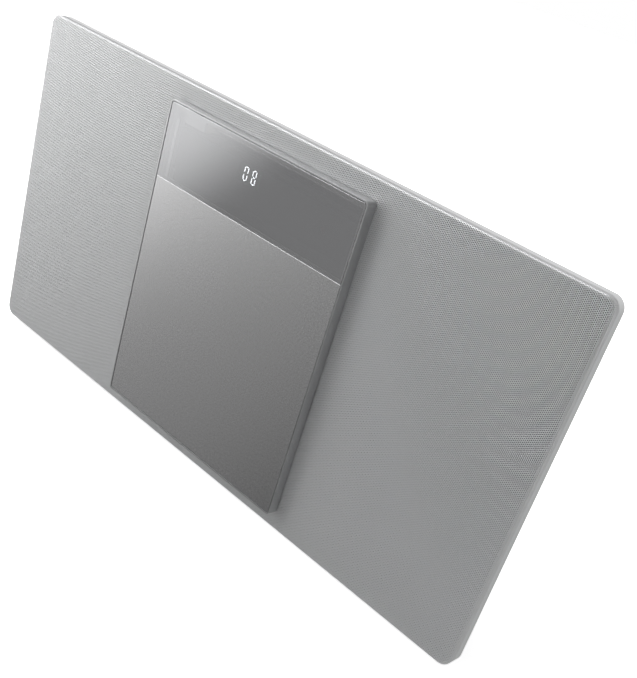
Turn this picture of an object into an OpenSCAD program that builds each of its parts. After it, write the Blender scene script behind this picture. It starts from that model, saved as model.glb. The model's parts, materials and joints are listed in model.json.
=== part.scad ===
// Slim mini hifi system: a punched-metal slab with a sliding mirror door over a vertical disc well.
// X runs to the right, the front faces -Y, Z is up. The origin is the bottom centre of the whole box.

/* [Slab] */
// Width of the front slab
slab_w = 432; // [428:1:440]
// Height of the front slab
slab_h = 213.5; // [211:0.5:220]
// Radius of the slab's four corners
slab_corner_r = 7; // [5:0.5:9]
// Bend radius of the grille where it turns over the edges
grille_bend_r = 1; // [1:0.5:3]
// Gap between the slab and the table
slab_lift = 3; // [2.5:0.5:4]

/* [Door] */
// Width of the sliding door
door_w = 157.7; // [156.6:0.1:158]
// Height of the sliding door
door_h = 191.5; // [191:0.1:192.5]
// Depth of the door box
door_d = 7; // [6.8:0.1:7.4]
// How far the door slides to the right
door_travel = 128; // [120:1:128]
// Share of the plate's height that is the display window
window_share = 0.233; // [0.2:0.005:0.24]

/* [Body behind the slab] */
// Overall depth with the stand
overall_d = 107; // [105:1:112]
// Depth of the rear cabinet
cabinet_d = 51.5; // [51:0.5:53]
// Width of the rear cabinet
cabinet_w = 380; // [376:1:384]

/* [Disc and speakers] */
// Radius of the disc well
well_r = 62; // [61.5:0.5:62]
// Travel of the pickup sled
sled_travel = 33; // [30:1:33]
// Radius of a speaker cone
cone_r = 33; // [30:1:34]

/* [Hidden] */
$fn = 64;

// Layers from front to back, as y positions
front_y = -overall_d / 2;
door_back_y = front_y + door_d;
door_gap = 0.6;
grille_y = door_back_y + door_gap;
sheet_t = 0.8;
cloth_y = grille_y + sheet_t;
cloth_t = 0.4;
frame_y = grille_y + 4.9;
frame_t = 5;
slab_back_y = frame_y + frame_t;
cabinet_back_y = slab_back_y + cabinet_d;
stand_back_y = overall_d / 2;

// Heights
slab_z0 = slab_lift;
slab_z1 = slab_z0 + slab_h;
door_z0 = slab_z0 + (slab_h - door_h) / 2;
door_z1 = door_z0 + door_h;

// Opening through grille, cloth and frame that the door covers
opening_w = 154;
opening_z0 = door_z0 + 3;
opening_z1 = door_z1 - 3;

// Fasteners and shafts, as radii
case_screw_r = 1.5;
case_head_r = 2.8;
chassis_screw_r = 1.25;
chassis_head_r = 2.4;
stand_screw_r = 1.75;
stand_head_r = 3.6;
drive_shaft_r = 1.5;
fine_shaft_r = 0.75;
bearing_r = 4;

// Front frame
rib_t = 2;
rod_r = 1.5;
guide_rod_y = frame_y + 2.5;
guide_rod_end = 82;
guide_rod_z = [opening_z0 + 5, opening_z1 - 5];

// Disc chassis
chassis_gap = 0.4;
chassis_w = opening_w - 2 * chassis_gap;
chassis_z0 = opening_z0 + chassis_gap;
chassis_z1 = opening_z1 - chassis_gap;
chassis_y = grille_y + 4.4;
chassis_face_t = 2;
chassis_back_y = chassis_y + 11;
chassis_wall = 1.4;
flange_y0 = slab_back_y;
flange_y1 = slab_back_y + 2.5;
flange_w = 172;
flange_z = [opening_z0 - 6, opening_z1 + 0.6];
channel_h = 6.4;
well_x = -13;
well_z = 103;
well_floor_y = chassis_back_y - 2.5;
well_wall = 1.8;

// Door shoes
shoe_l = 24;
shoe_h = 5.6;
shoe_x0 = -opening_w / 2 + 0.5;
shoe_back_y = door_back_y + 10.2;
running_gap = 0.05;

// Door box
door_wall = 0.8;
rim_gap = 0.5;
door_top_r = 2.8;
door_low_r = 1.8;
plate_t = 1.9;
plate_y = front_y + 0.1;
ledge_w = 3;
plate_w = door_w - 2 * (door_wall + rim_gap);
plate_z0 = door_z0 + door_wall + rim_gap;
plate_z1 = door_z1 - door_wall - rim_gap;
window_z0 = plate_z1 - window_share * (plate_z1 - plate_z0);

// Door drive
rack_m = 1;
pinion_n = 12;
pinion_r = rack_m * pinion_n / 2;
rack_pitch_z = door_z0 + 15;
pinion_x = 62;
pinion_z = rack_pitch_z + pinion_r;
drive_m = 0.6;
wheel_n = 48;
small_n = 14;
drive_centres = drive_m * (wheel_n + small_n) / 2;
pulley_z = pinion_z + drive_centres;
pulley_r = 9;
motor_pulley_r = 4.5;
motor_z = 98;
belt_y = chassis_back_y + 5.4;
belt_w = 2;
belt_t = 0.9;
belt_gap = 0.25;
backlash = 0.12;

// Display
bezel_y = grille_y + 0.5;
bezel_w = 148;
bezel_z0 = 166.6;
bezel_z1 = 191;
digit_x = -11.8;
digit_z = 184.8;
digit_h = 8.2;
digit_w = 3.4;
digit_pitch = 6.8;
segment_t = 0.7;
sensor_x = 50;
sensor_z = digit_z - 6;
sensor_r = 2.4;

// Disc mechanism
deck_y = chassis_back_y + 6.5;
deck_t = 1.2;
sled_x = well_x;
sled_z = well_z - 24;
sled_half_h = 9;
sled_front_y = chassis_back_y + 0.5;
sled_back_y = deck_y - 0.5;
sled_rod_y = (sled_front_y + sled_back_y) / 2;
sled_rod_r = 1.25;
sled_rod_x = [well_x - 12, well_x + 12];
disc_y = well_floor_y - 3.5;
turntable_r = 15;
hub_r = 7.2;
shaft_r = 1;
sled_m = 0.5;
sled_small_n = 12;
sled_wheel_n = 36;
sled_motor_n = 10;
motor_boss_r = 3.2;
sled_gear_x = 12;
sled_gear_z = 70;
sled_motor_x = sled_gear_x + sled_m * (sled_wheel_n + sled_motor_n) / 2;
slot_half_w = 9.5;
actuator_half_w = 8;
actuator_half_h = 5.5;
bush_spots = [[-50, 45], [32, 45], [-50, 140], [32, 140]];
bush_r = 5;
bush_neck_r = 3.6;
bush_post_r = 2;
mech_x = [-57, 39];
mech_z = [32, 147];

// Speakers
speaker_x = 135;
speaker_z = 109.5;
speaker_hole_r = cone_r + 5;
flange_r = 45;
magnet_r = 30;
magnet_y = frame_y + 22;

// Rear cabinet
cabinet_z0 = 6;
cabinet_z1 = 205.5;
cabinet_wall = 2.2;
cabinet_edge_r = 8;
tunnel_r = 3.2;
case_screw_spots = [[-178, 192], [178, 192], [-178, 18], [178, 18], [-98, 192], [98, 192]];
wall_hole_x = 117;
wall_hole_z = 150;
wall_hole_r = 2.25;
vent_pitch = 9;
vent_half_w = 1.25;
vent_z = [128, 158];
terminal_x = [-45, 45];
terminal_z = [26, 62];
inlet_x = -61.5;
inlet_z = (terminal_z[0] + terminal_z[1]) / 2;
inlet_half_w = 16.5;
antenna_x = -28;
antenna_r = 6.5;
jack_x = [8, 28];
jack_r = 4;
socket_z = inlet_z;

// Electronics
board_y = slab_back_y + 40;
board_t = 1.6;
sink_x = [-40, 60];
sink_z = [150, 180];
fin_count = 10;
fin_t = 1.5;
switch_h = 4;

// Stand
pad_h = 1.5;
pad_r = 7;
stand_t = 2.5;
stand_w = 190;
stand_y0 = slab_back_y + 0.5;
stand_screw_spots = [[-50, -20], [50, -20], [0, 2]];
pad_spots = [[-82, -26], [82, -26], [-82, 43], [82, 43]];

// Buttons
button_y = slab_back_y + 11;
button_pitch = 20;
button_w = 14;
button_d = 6;
button_top = cabinet_z1 + 1.2;
button_fit = 0.3;
switch_top = cabinet_z1 - 6.6;

// ---- Shape helpers ----

module block(x0, x1, y0, y1, z0, z1) {
    translate([x0, y0, z0]) cube([x1 - x0, y1 - y0, z1 - z0]);
}

// A 2D shape in X and Z, drawn out along Y
module along_y(y0, y1) {
    translate([0, y1, 0]) rotate([90, 0, 0]) linear_extrude(y1 - y0) children();
}

// A 2D shape in Y and Z, drawn out along X
module along_x(x0, x1) {
    translate([x0, 0, 0]) rotate([90, 0, 90]) linear_extrude(x1 - x0) children();
}

module rod_y(x, z, r, y0, y1) {
    translate([x, y1, z]) rotate([90, 0, 0]) cylinder(r = r, h = y1 - y0);
}

module rod_x(x0, x1, y, z, r) {
    translate([x0, y, z]) rotate([0, 90, 0]) cylinder(r = r, h = x1 - x0);
}

module rod_z(x, y, r, z0, z1) {
    translate([x, y, z0]) cylinder(r = r, h = z1 - z0);
}

module cone_y(x, z, r_front, r_back, y0, y1) {
    translate([x, y0, z]) rotate([-90, 0, 0]) cylinder(r1 = r_front, r2 = r_back, h = y1 - y0);
}

// Rectangle with round corners, given by its corners
module round_rect(x0, x1, y0, y1, r) {
    translate([x0 + r, y0]) square([x1 - x0 - 2 * r, y1 - y0]);
    translate([x0, y0 + r]) square([x1 - x0, y1 - y0 - 2 * r]);
    for (x = [x0 + r, x1 - r], y = [y0 + r, y1 - r]) translate([x, y]) circle(r);
}

// Centred rectangle with one radius for its two low corners and one for its two top corners
module two_round_rect(half, v0, v1, r_low, r_top) {
    translate([-half, v0 + r_low]) square([2 * half, v1 - v0 - r_low - r_top]);
    translate([-half + r_low, v0]) square([2 * (half - r_low), r_low]);
    translate([-half + r_top, v1 - r_top]) square([2 * (half - r_top), r_top]);
    for (s = [-1, 1]) {
        translate([s * (half - r_low), v0 + r_low]) circle(r_low);
        translate([s * (half - r_top), v1 - r_top]) circle(r_top);
    }
}

// Rectangle with only the two corners on its low u side rounded
module front_round(u0, u1, v0, v1, r) {
    translate([u0 + r, v0]) square([u1 - u0 - r, v1 - v0]);
    translate([u0, v0 + r]) square([u1 - u0, v1 - v0 - 2 * r]);
    for (v = [v0 + r, v1 - r]) translate([u0 + r, v]) circle(r);
}

// Slab whose front edges are bent over with radius r
module bent_slab(half_w, z0, z1, y0, y1, corner_r, r) {
    intersection() {
        along_y(y0, y1) round_rect(-half_w, half_w, z0, z1, corner_r);
        along_x(-half_w, half_w) front_round(y0, y1, z0, z1, r);
        translate([0, 0, z0]) linear_extrude(z1 - z0) rotate(-90) mirror([1, 0])
            front_round(y0, y1, -half_w, half_w, r);
    }
}

module opening_cut(y0, y1) {
    block(-opening_w / 2, opening_w / 2, y0, y1, opening_z0, opening_z1);
}

// ---- Gear helpers ----

function involute_deg(a) = tan(a) * 180 / PI - a;

// Half of a tooth's angle at radius p
function half_tooth(p, r, base, thick) =
    thick / (2 * r) * 180 / PI + involute_deg(20) - involute_deg(acos(min(1, base / p)));

function polar(p, a) = [p * cos(a), p * sin(a)];

// Outline of a spur gear with one tooth centred on +X
module gear_outline(m, n) {
    r = m * n / 2;
    base = r * cos(20);
    root = r - 1.25 * m;
    tip = r + m;
    thick = PI * m / 2 - backlash;
    low = max(root, base);
    steps = [for (i = [0:3]) low + (tip - low) * i / 3];
    polygon([for (t = [0:n - 1]) each concat(
        [polar(root, t * 360 / n - half_tooth(low, r, base, thick))],
        [for (p = steps) polar(p, t * 360 / n - half_tooth(p, r, base, thick))],
        [for (i = [3:-1:0]) polar(steps[i], t * 360 / n + half_tooth(steps[i], r, base, thick))],
        [polar(root, t * 360 / n + half_tooth(low, r, base, thick))]
    )]);
}

// Gear on an axis along Y, with one tooth centred at the given angle in the XZ plane
module gear_y(x, z, m, n, angle, y0, y1) {
    along_y(y0, y1) translate([x, z]) rotate(angle) gear_outline(m, n);
}

// Rack outline with its teeth up, its pitch line on v = 0 and a gap centred on u = 0
module rack_outline(m, u0, u1, back) {
    pitch = PI * m;
    thick = pitch / 2 - backlash;
    lean = tan(20) * m;
    foot = tan(20) * 1.25 * m;
    first = ceil((u0 + pitch) / pitch);
    last = floor((u1 - pitch) / pitch);
    translate([u0, -1.25 * m - back]) square([u1 - u0, back]);
    for (i = [first:last]) translate([(i + 0.5) * pitch, 0])
        polygon([[-thick / 2 - foot, -1.25 * m - 0.2], [thick / 2 + foot, -1.25 * m - 0.2],
                 [thick / 2 - lean, m], [-thick / 2 + lean, m]]);
}

// ---- Casing ----

module front_grille() color("silver") {
    difference() {
        bent_slab(slab_w / 2, slab_z0, slab_z1, grille_y, frame_y, slab_corner_r, grille_bend_r);
        bent_slab(slab_w / 2 - sheet_t, slab_z0 + sheet_t, slab_z1 - sheet_t, cloth_y, frame_y + 1,
                  slab_corner_r - sheet_t, grille_bend_r - sheet_t);
        opening_cut(grille_y - 1, cloth_y + 1);
    }
}

module grille_cloth() color("black") {
    inset = grille_bend_r + 1;
    difference() {
        along_y(cloth_y, cloth_y + cloth_t)
            round_rect(-slab_w / 2 + inset, slab_w / 2 - inset, slab_z0 + inset, slab_z1 - inset, 4);
        opening_cut(cloth_y - 1, cloth_y + cloth_t + 1);
    }
}

module front_frame() color("gainsboro") {
    rib_out = sheet_t + 0.2;
    difference() {
        union() {
            along_y(frame_y, slab_back_y)
                round_rect(-slab_w / 2, slab_w / 2, slab_z0, slab_z1, slab_corner_r);
            difference() {
                along_y(frame_y - 2, frame_y)
                    round_rect(-slab_w / 2 + rib_out, slab_w / 2 - rib_out, slab_z0 + rib_out,
                               slab_z1 - rib_out, slab_corner_r - rib_out);
                along_y(frame_y - 3, frame_y)
                    round_rect(-slab_w / 2 + rib_out + rib_t, slab_w / 2 - rib_out - rib_t,
                               slab_z0 + rib_out + rib_t, slab_z1 - rib_out - rib_t,
                               slab_corner_r - rib_out - rib_t);
            }
        }
        opening_cut(frame_y - 1, slab_back_y + 1);
        for (x = [-speaker_x, speaker_x])
            rod_y(x, speaker_z, speaker_hole_r, frame_y - 1, slab_back_y + 1);
        for (z = guide_rod_z) rod_x(-guide_rod_end, guide_rod_end, guide_rod_y, z, rod_r);
        for (s = case_screw_spots) rod_y(s[0], s[1], case_screw_r, frame_y + 0.8, slab_back_y + 1);
        for (s = chassis_screw_spots()) rod_y(s[0], s[1], chassis_screw_r, frame_y + 1, slab_back_y + 1);
    }
}

function chassis_screw_spots() =
    [for (x = [-81.5, 81.5], z = [opening_z0 + 12, opening_z1 - 12]) [x, z]];

module disc_chassis() color("dimgray") {
    half = chassis_w / 2;
    channel_wall = chassis_z0 + chassis_wall + channel_h + chassis_wall;
    channel_top = chassis_z1 - chassis_wall - channel_h - chassis_wall;
    difference() {
        union() {
            // Face between the two shoe channels
            block(-half, half, chassis_y, chassis_y + chassis_face_t, channel_wall - chassis_wall,
                  channel_top + chassis_wall);
            // Channel walls and floors
            for (z = [chassis_z0, channel_wall - chassis_wall, channel_top, chassis_z1 - chassis_wall])
                block(-half, half, chassis_y, flange_y1, z, z + chassis_wall);
            // Rear flange, which closes the channels
            block(-flange_w / 2, flange_w / 2, flange_y0, flange_y1, flange_z[0], flange_z[1]);
            // Disc well
            rod_y(well_x, well_z, well_r + well_wall, chassis_y, chassis_back_y);
            // Long bearing for the door pinion's shaft
            rod_y(pinion_x, pinion_z, bearing_r, chassis_y, chassis_back_y);
            rod_y(pinion_x, pulley_z, bearing_r, flange_y0, chassis_back_y);
            // Posts for the damper bushes
            for (s = bush_spots) rod_y(s[0], s[1], bush_post_r, well_floor_y, deck_y + 5);
            for (s = bush_spots) rod_y(s[0], s[1], bush_r, flange_y0, chassis_back_y);
        }
        rod_y(well_x, well_z, well_r, chassis_y - 1, well_floor_y);
        rod_y(well_x, well_z, turntable_r + 2, well_floor_y - 1, chassis_back_y + 1);
        block(-half, half, chassis_y - 1, flange_y0, chassis_z0 + chassis_wall,
              channel_wall - chassis_wall);
        block(-half, half, chassis_y - 1, flange_y0, channel_top + chassis_wall,
              chassis_z1 - chassis_wall);
        // Slot in the well floor for the pickup's actuator
        block(sled_x - slot_half_w, sled_x + slot_half_w, chassis_y + 5, chassis_back_y + 1,
              sled_z - sled_travel - 6.2, sled_z + 9);
        rod_y(pinion_x, pinion_z, drive_shaft_r + running_gap, chassis_y - 1, chassis_back_y + 1);
        rod_y(pinion_x, pulley_z, drive_shaft_r + running_gap, chassis_back_y - 4,
              chassis_back_y + 1);
        for (s = chassis_screw_spots())
            rod_y(s[0], s[1], chassis_screw_r + 0.35, flange_y0 - 1, flange_y1 + 1);
    }
}

module rear_cabinet() color([0.25, 0.25, 0.27]) {
    half = cabinet_w / 2;
    inner = half - cabinet_wall;
    difference() {
        union() {
            difference() {
                cabinet_block(half, cabinet_z0, cabinet_z1, slab_back_y, cabinet_back_y,
                              cabinet_edge_r);
                cabinet_block(inner, cabinet_z0 + cabinet_wall, cabinet_z1 - cabinet_wall,
                              slab_back_y - 1, cabinet_back_y - cabinet_wall,
                              cabinet_edge_r - cabinet_wall);
            }
            // Tunnels that take the case screws to the front frame
            for (s = case_screw_spots)
                rod_y(s[0], s[1], tunnel_r + 1.4, slab_back_y, cabinet_back_y - 0.5);
            // Thick bosses behind the wall-bracket holes
            for (x = [-wall_hole_x, wall_hole_x])
                rod_y(x, wall_hole_z, 6, cabinet_back_y - 7, cabinet_back_y - 0.5);
            // Thick pads that take the stand screws
            for (s = stand_screw_spots)
                rod_z(s[0], s[1], 5, cabinet_z0 + 0.5, cabinet_z0 + 7);
        }
        for (s = case_screw_spots) {
            rod_y(s[0], s[1], tunnel_r, slab_back_y + 3, cabinet_back_y + 1);
            rod_y(s[0], s[1], case_screw_r + 0.1, slab_back_y - 1, slab_back_y + 4);
        }
        for (x = [-wall_hole_x, wall_hole_x])
            rod_y(x, wall_hole_z, wall_hole_r, cabinet_back_y - 8, cabinet_back_y + 1);
        for (s = stand_screw_spots) rod_z(s[0], s[1], stand_screw_r, cabinet_z0 - 1, cabinet_z0 + 6);
        for (i = [-3:3]) button_hole(i * button_pitch);
        block(inlet_x - inlet_half_w, terminal_x[1], cabinet_back_y - 5, cabinet_back_y + 1,
              terminal_z[0], terminal_z[1]);
        // Cooling slots in the rear wall
        for (i = [-6:6]) along_y(cabinet_back_y - 4, cabinet_back_y + 1)
            round_rect(i * vent_pitch - vent_half_w, i * vent_pitch + vent_half_w, vent_z[0],
                       vent_z[1], 1.2);
    }
}

// Box whose four rear edges are round
module cabinet_block(half, z0, z1, y0, y1, r) {
    intersection() {
        along_y(y0, y1) round_rect(-half, half, z0, z1, r);
        along_x(-half, half) mirror([1, 0]) front_round(-y1, -y0, z0, z1, r);
        translate([0, 0, z0]) linear_extrude(z1 - z0) rotate(-90)
            front_round(-y1, -y0, -half, half, r);
    }
}

module button_hole(x) {
    block(x - button_w / 2 - button_fit, x + button_w / 2 + button_fit,
          button_y - button_d / 2 - button_fit, button_y + button_d / 2 + button_fit,
          cabinet_z1 - 5, cabinet_z1 + 1);
}

module stand_plate() color([0.6, 0.6, 0.62]) {
    difference() {
        union() {
            translate([0, 0, pad_h]) linear_extrude(stand_t)
                round_rect(-stand_w / 2, stand_w / 2, stand_y0, stand_back_y, 12);
            translate([0, 0, pad_h]) linear_extrude(cabinet_z0 - pad_h)
                round_rect(-70, 70, stand_y0 + 4, cabinet_back_y - 4, 6);
        }
        for (s = stand_screw_spots) {
            rod_z(s[0], s[1], stand_screw_r + 0.35, 0, cabinet_z0 + 1);
            rod_z(s[0], s[1], stand_head_r + 0.4, pad_h - 1, pad_h + 2);
        }
    }
}

module foot_pads() color("black") {
    for (s = pad_spots) rod_z(s[0], s[1], pad_r, 0, pad_h);
}

module case_screws() color("silver") {
    for (s = case_screw_spots) {
        rod_y(s[0], s[1], case_screw_r, frame_y + 0.8, slab_back_y + 3);
        rod_y(s[0], s[1], case_head_r, slab_back_y + 3, slab_back_y + 5);
    }
}

module chassis_screws() color("silver") {
    for (s = chassis_screw_spots()) {
        rod_y(s[0], s[1], chassis_screw_r, frame_y + 1, flange_y1);
        rod_y(s[0], s[1], chassis_head_r, flange_y1, flange_y1 + 1.6);
    }
}

module stand_screws() color("silver") {
    for (s = stand_screw_spots) {
        rod_z(s[0], s[1], stand_screw_r, pad_h + 1.9, cabinet_z0 + 6);
        rod_z(s[0], s[1], stand_head_r, pad_h + 0.3, pad_h + 2);
    }
}

// ---- Sliding door ----

module door_frame() color("silver") {
    half = door_w / 2;
    ledge_y0 = plate_y + plate_t;
    difference() {
        along_y(front_y, door_back_y)
            two_round_rect(half, door_z0, door_z1, door_low_r, door_top_r);
        along_y(front_y - 1, ledge_y0)
            two_round_rect(half - door_wall, door_z0 + door_wall, door_z1 - door_wall,
                           door_low_r - door_wall, door_top_r - door_wall);
        // Hollow behind the lower panel and behind the window, either side of the cross bar
        block(-half + door_wall + ledge_w, half - door_wall - ledge_w, front_y, door_back_y + 1,
              door_z0 + door_wall + ledge_w, window_z0 - 2.5);
        block(-half + door_wall + ledge_w, half - door_wall - ledge_w, front_y, door_back_y + 1,
              window_z0 + 1.5, door_z1 - door_wall - ledge_w);
        block(-half + door_wall, half - door_wall, ledge_y0 + 1, door_back_y + 1,
              door_z0 + door_wall, door_z1 - door_wall);
    }
    // Tabs that carry the shoes
    for (z = [door_z0 + door_wall / 2, guide_rod_z[1] - shoe_h / 2])
        block(-half + door_wall / 2, shoe_x0 + shoe_l, door_back_y - 1.2, door_back_y, z,
              z + (guide_rod_z[0] + shoe_h / 2 - door_z0 - door_wall / 2));
}

// Outline shared by the panel and the window, cut to its stretch of height
module plate(z0, z1) {
    inset = door_wall + rim_gap;
    intersection() {
        along_y(plate_y, plate_y + plate_t)
            two_round_rect(plate_w / 2, plate_z0, plate_z1, door_low_r - inset, door_top_r - inset);
        block(-plate_w, plate_w, plate_y, plate_y + plate_t, z0, z1);
    }
}

module door_panel() color([0.72, 0.73, 0.75]) plate(plate_z0, window_z0);

module display_window() color([0.3, 0.31, 0.33, 0.6]) plate(window_z0, plate_z1);

module door_rack() color("white") {
    u0 = pinion_x - door_travel - 8;
    along_y(plate_y + plate_t, door_back_y - 1) translate([pinion_x, rack_pitch_z])
        rack_outline(rack_m, u0 - pinion_x, 9, 2.6);
}

module door_shoes() color("white") {
    for (z = guide_rod_z) difference() {
        block(shoe_x0, shoe_x0 + shoe_l, door_back_y, shoe_back_y, z - shoe_h / 2, z + shoe_h / 2);
        rod_x(shoe_x0 - 1, shoe_x0 + shoe_l + 1, guide_rod_y, z, rod_r + running_gap);
    }
}

module guide_rods() color("silver") {
    for (z = guide_rod_z) rod_x(-guide_rod_end, guide_rod_end, guide_rod_y, z, rod_r);
}

// Pinion, shaft and wheel in one moulding; the pinion meets the rack below it
module door_pinion() color("ivory") {
    gear_y(pinion_x, pinion_z, rack_m, pinion_n, -90, plate_y + plate_t + 0.4, door_back_y - 1);
    rod_y(pinion_x, pinion_z, drive_shaft_r, door_back_y - 2, chassis_back_y + 3);
    gear_y(pinion_x, pinion_z, drive_m, wheel_n, 90, chassis_back_y + 0.6, chassis_back_y + 3);
}

// Small gear and belt pulley on one shaft, above the wheel
module pulley_gear() color("ivory") {
    gear_y(pinion_x, pulley_z, drive_m, small_n, -90 + 180 / small_n, chassis_back_y + 0.4,
           chassis_back_y + 4.2);
    rod_y(pinion_x, pulley_z, drive_shaft_r, chassis_back_y - 3.5, chassis_back_y + 3);
    grooved_pulley(pinion_x, pulley_z, pulley_r);
}

module grooved_pulley(x, z, r) {
    groove_gap = 0.5;
    lip = 0.8;
    y0 = belt_y - groove_gap - lip;
    y1 = belt_y + belt_w + groove_gap;
    rod_y(x, z, r, y0, y1 + lip);
    rod_y(x, z, r + belt_t, y0, y0 + lip);
    rod_y(x, z, r + belt_t, y1, y1 + lip);
}

module belt_outline(extra) {
    hull() {
        translate([pinion_x, pulley_z]) circle(pulley_r + belt_gap + extra);
        translate([pinion_x, motor_z]) circle(motor_pulley_r + belt_gap + extra);
    }
}

module drive_belt() color("black") {
    along_y(belt_y, belt_y + belt_w) difference() {
        belt_outline(belt_t);
        belt_outline(0);
    }
}

module door_motor() color("gray") {
    y0 = belt_y + belt_w + 2.3;
    can_r = 10.5;
    can_l = 20;
    difference() {
        union() {
            rod_y(pinion_x, motor_z, can_r, y0, y0 + can_l);
            rod_y(pinion_x, motor_z, 3, y0 - 0.6, y0 + 1);
            // Bracket arm back to the chassis flange
            block(pinion_x - 3, pinion_x + 3, flange_y1, y0 + 5, motor_z + can_r + 1, motor_z + 14);
            block(pinion_x - 3, pinion_x + 3, y0 + 0.5, y0 + 5, motor_z + 8, motor_z + 14);
        }
        rod_y(pinion_x, motor_z, 1 + running_gap, y0 - 1, y0 + 14);
    }
}

module motor_pulley() color("ivory") {
    grooved_pulley(pinion_x, motor_z, motor_pulley_r);
    rod_y(pinion_x, motor_z, 1, belt_y + belt_w, belt_y + belt_w + 15);
}

// ---- Display ----

module display_bezel() color([0.05, 0.05, 0.06]) {
    difference() {
        block(-bezel_w / 2, bezel_w / 2, bezel_y, chassis_y, bezel_z0, bezel_z1);
        block(-bezel_w / 2 + 1.5, bezel_w / 2 - 1.5, bezel_y + 1.2, chassis_y + 1, bezel_z0 + 1.5,
              bezel_z1 - 1.5);
        block(digit_x - 9, digit_x + 9, bezel_y - 1, bezel_y + 3, digit_z - 5.4, bezel_z1 - 1.2);
        rod_y(sensor_x, sensor_z, sensor_r + 0.2, bezel_y - 1, bezel_y + 3);
    }
}

module display_board() color("darkgreen") {
    block(-60, 60, chassis_y - 1.4, chassis_y - 0.2, bezel_z0 + 2, bezel_z1 - 2);
}

// One seven-segment character from a list of lit segments: a b c d e f g
module character(lit) {
    w = digit_w / 2;
    h = digit_h / 2;
    t = segment_t;
    spots = [[0, h - t / 2, 0], [w - t / 2, h / 2, 1], [w - t / 2, -h / 2, 1], [0, -h + t / 2, 0],
             [-w + t / 2, -h / 2, 1], [-w + t / 2, h / 2, 1], [0, 0, 0]];
    for (i = [0:6]) if (lit[i] == 1) translate([spots[i][0], spots[i][1]])
        square(spots[i][2] == 1 ? [t, h - t - 0.5] : [digit_w - 2 * t - 0.3, t], center = true);
}

module display_digits() color("white") {
    y1 = chassis_y - 1.4;
    along_y(bezel_y + 0.3, y1) translate([digit_x - digit_pitch / 2, digit_z])
        character([1, 1, 1, 1, 1, 1, 0]);
    along_y(bezel_y + 0.3, y1) translate([digit_x + digit_pitch / 2, digit_z])
        character([1, 1, 1, 1, 1, 1, 1]);
}

module remote_sensor() color([0.2, 0.02, 0.05]) {
    rod_y(sensor_x, sensor_z, sensor_r, bezel_y + 0.2, chassis_y - 1.4);
}

// ---- Disc mechanism ----

module mech_plate() color("lightgray") {
    tab_y0 = sled_rod_y - 2.2;
    difference() {
        union() {
            along_y(deck_y, deck_y + deck_t)
                round_rect(mech_x[0], mech_x[1], mech_z[0], mech_z[1], 4);
            // Tabs that hold the sled rods
            for (x = sled_rod_x) {
                block(x - 2.4, x + 2.4, tab_y0, deck_y + 0.2, sled_z + sled_half_h + 1.2,
                      sled_z + sled_half_h + 3.4);
                block(x - 2.4, x + 2.4, tab_y0, deck_y + 0.2,
                      sled_z - sled_travel - sled_half_h - 3.4,
                      sled_z - sled_travel - sled_half_h - 1.2);
            }
        }
        for (x = sled_rod_x)
            rod_z(x, sled_rod_y, sled_rod_r, sled_z - sled_travel - sled_half_h - 4,
                  sled_z + sled_half_h + 4);
        for (s = bush_spots) rod_y(s[0], s[1], bush_neck_r, deck_y - 1, deck_y + deck_t + 1);
        rod_y(sled_motor_x, sled_gear_z, motor_boss_r, deck_y - 1, deck_y + deck_t + 1);
        rod_y(sled_gear_x, sled_gear_z, fine_shaft_r + running_gap, deck_y - 1,
              deck_y + deck_t + 1);
    }
}

module damper_bushes() color([0.1, 0.1, 0.1]) {
    for (s = bush_spots) difference() {
        union() {
            rod_y(s[0], s[1], bush_r, chassis_back_y, deck_y);
            rod_y(s[0], s[1], bush_neck_r, deck_y, deck_y + deck_t);
            rod_y(s[0], s[1], bush_r, deck_y + deck_t, deck_y + deck_t + 2.5);
        }
        rod_y(s[0], s[1], bush_post_r, chassis_back_y - 1, deck_y + deck_t + 4);
    }
}

module spindle_motor() color("gray") {
    difference() {
        rod_y(well_x, well_z, 11, sled_front_y, deck_y);
        rod_y(well_x, well_z, shaft_r + running_gap, sled_front_y - 1, deck_y - 0.8);
    }
}

// Platter, hub and shaft; the hub has three radial pockets for its claws
module turntable() color([0.12, 0.12, 0.13]) {
    difference() {
        union() {
            rod_y(well_x, well_z, turntable_r, disc_y, disc_y + 2.4);
            rod_y(well_x, well_z, hub_r, disc_y - 2.8, disc_y);
            cone_y(well_x, well_z, hub_r - 1.2, hub_r, disc_y - 3.8, disc_y - 2.8);
            rod_y(well_x, well_z, shaft_r, disc_y, deck_y - 1.2);
        }
        for (i = [0:2]) claw_frame(i) translate([2.6, -1.3, -2.5]) cube([6, 2.6, 1.9]);
    }
}

// Places a claw i of the hub: local X is outwards, local Z runs back along the shaft
module claw_frame(i) {
    translate([well_x, disc_y, well_z]) rotate([-90, 0, 0]) rotate(-90 - i * 120) children();
}

module hub_claw(i) color("ivory") {
    claw_frame(i) intersection() {
        translate([3.4, -1.1, -2.3]) cube([4.4, 2.2, 1.5]);
        translate([0, 0, -3]) cylinder(r = 7.7, h = 3);
    }
}

module hub_claw_1() hub_claw(0);
module hub_claw_2() hub_claw(1);
module hub_claw_3() hub_claw(2);

module sled_motor() color("gray") {
    y0 = deck_y + deck_t;
    difference() {
        union() {
            rod_y(sled_motor_x, sled_gear_z, 6, y0, y0 + 13);
            rod_y(sled_motor_x, sled_gear_z, motor_boss_r, deck_y, y0);
        }
        rod_y(sled_motor_x, sled_gear_z, fine_shaft_r + running_gap, deck_y - 1, y0 + 10);
    }
}

module sled_pinion() color("ivory") {
    gear_y(sled_motor_x, sled_gear_z, sled_m, sled_motor_n, 180, deck_y - 3.2, deck_y - 1.4);
    rod_y(sled_motor_x, sled_gear_z, fine_shaft_r, deck_y - 2, deck_y + deck_t + 9);
}

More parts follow.
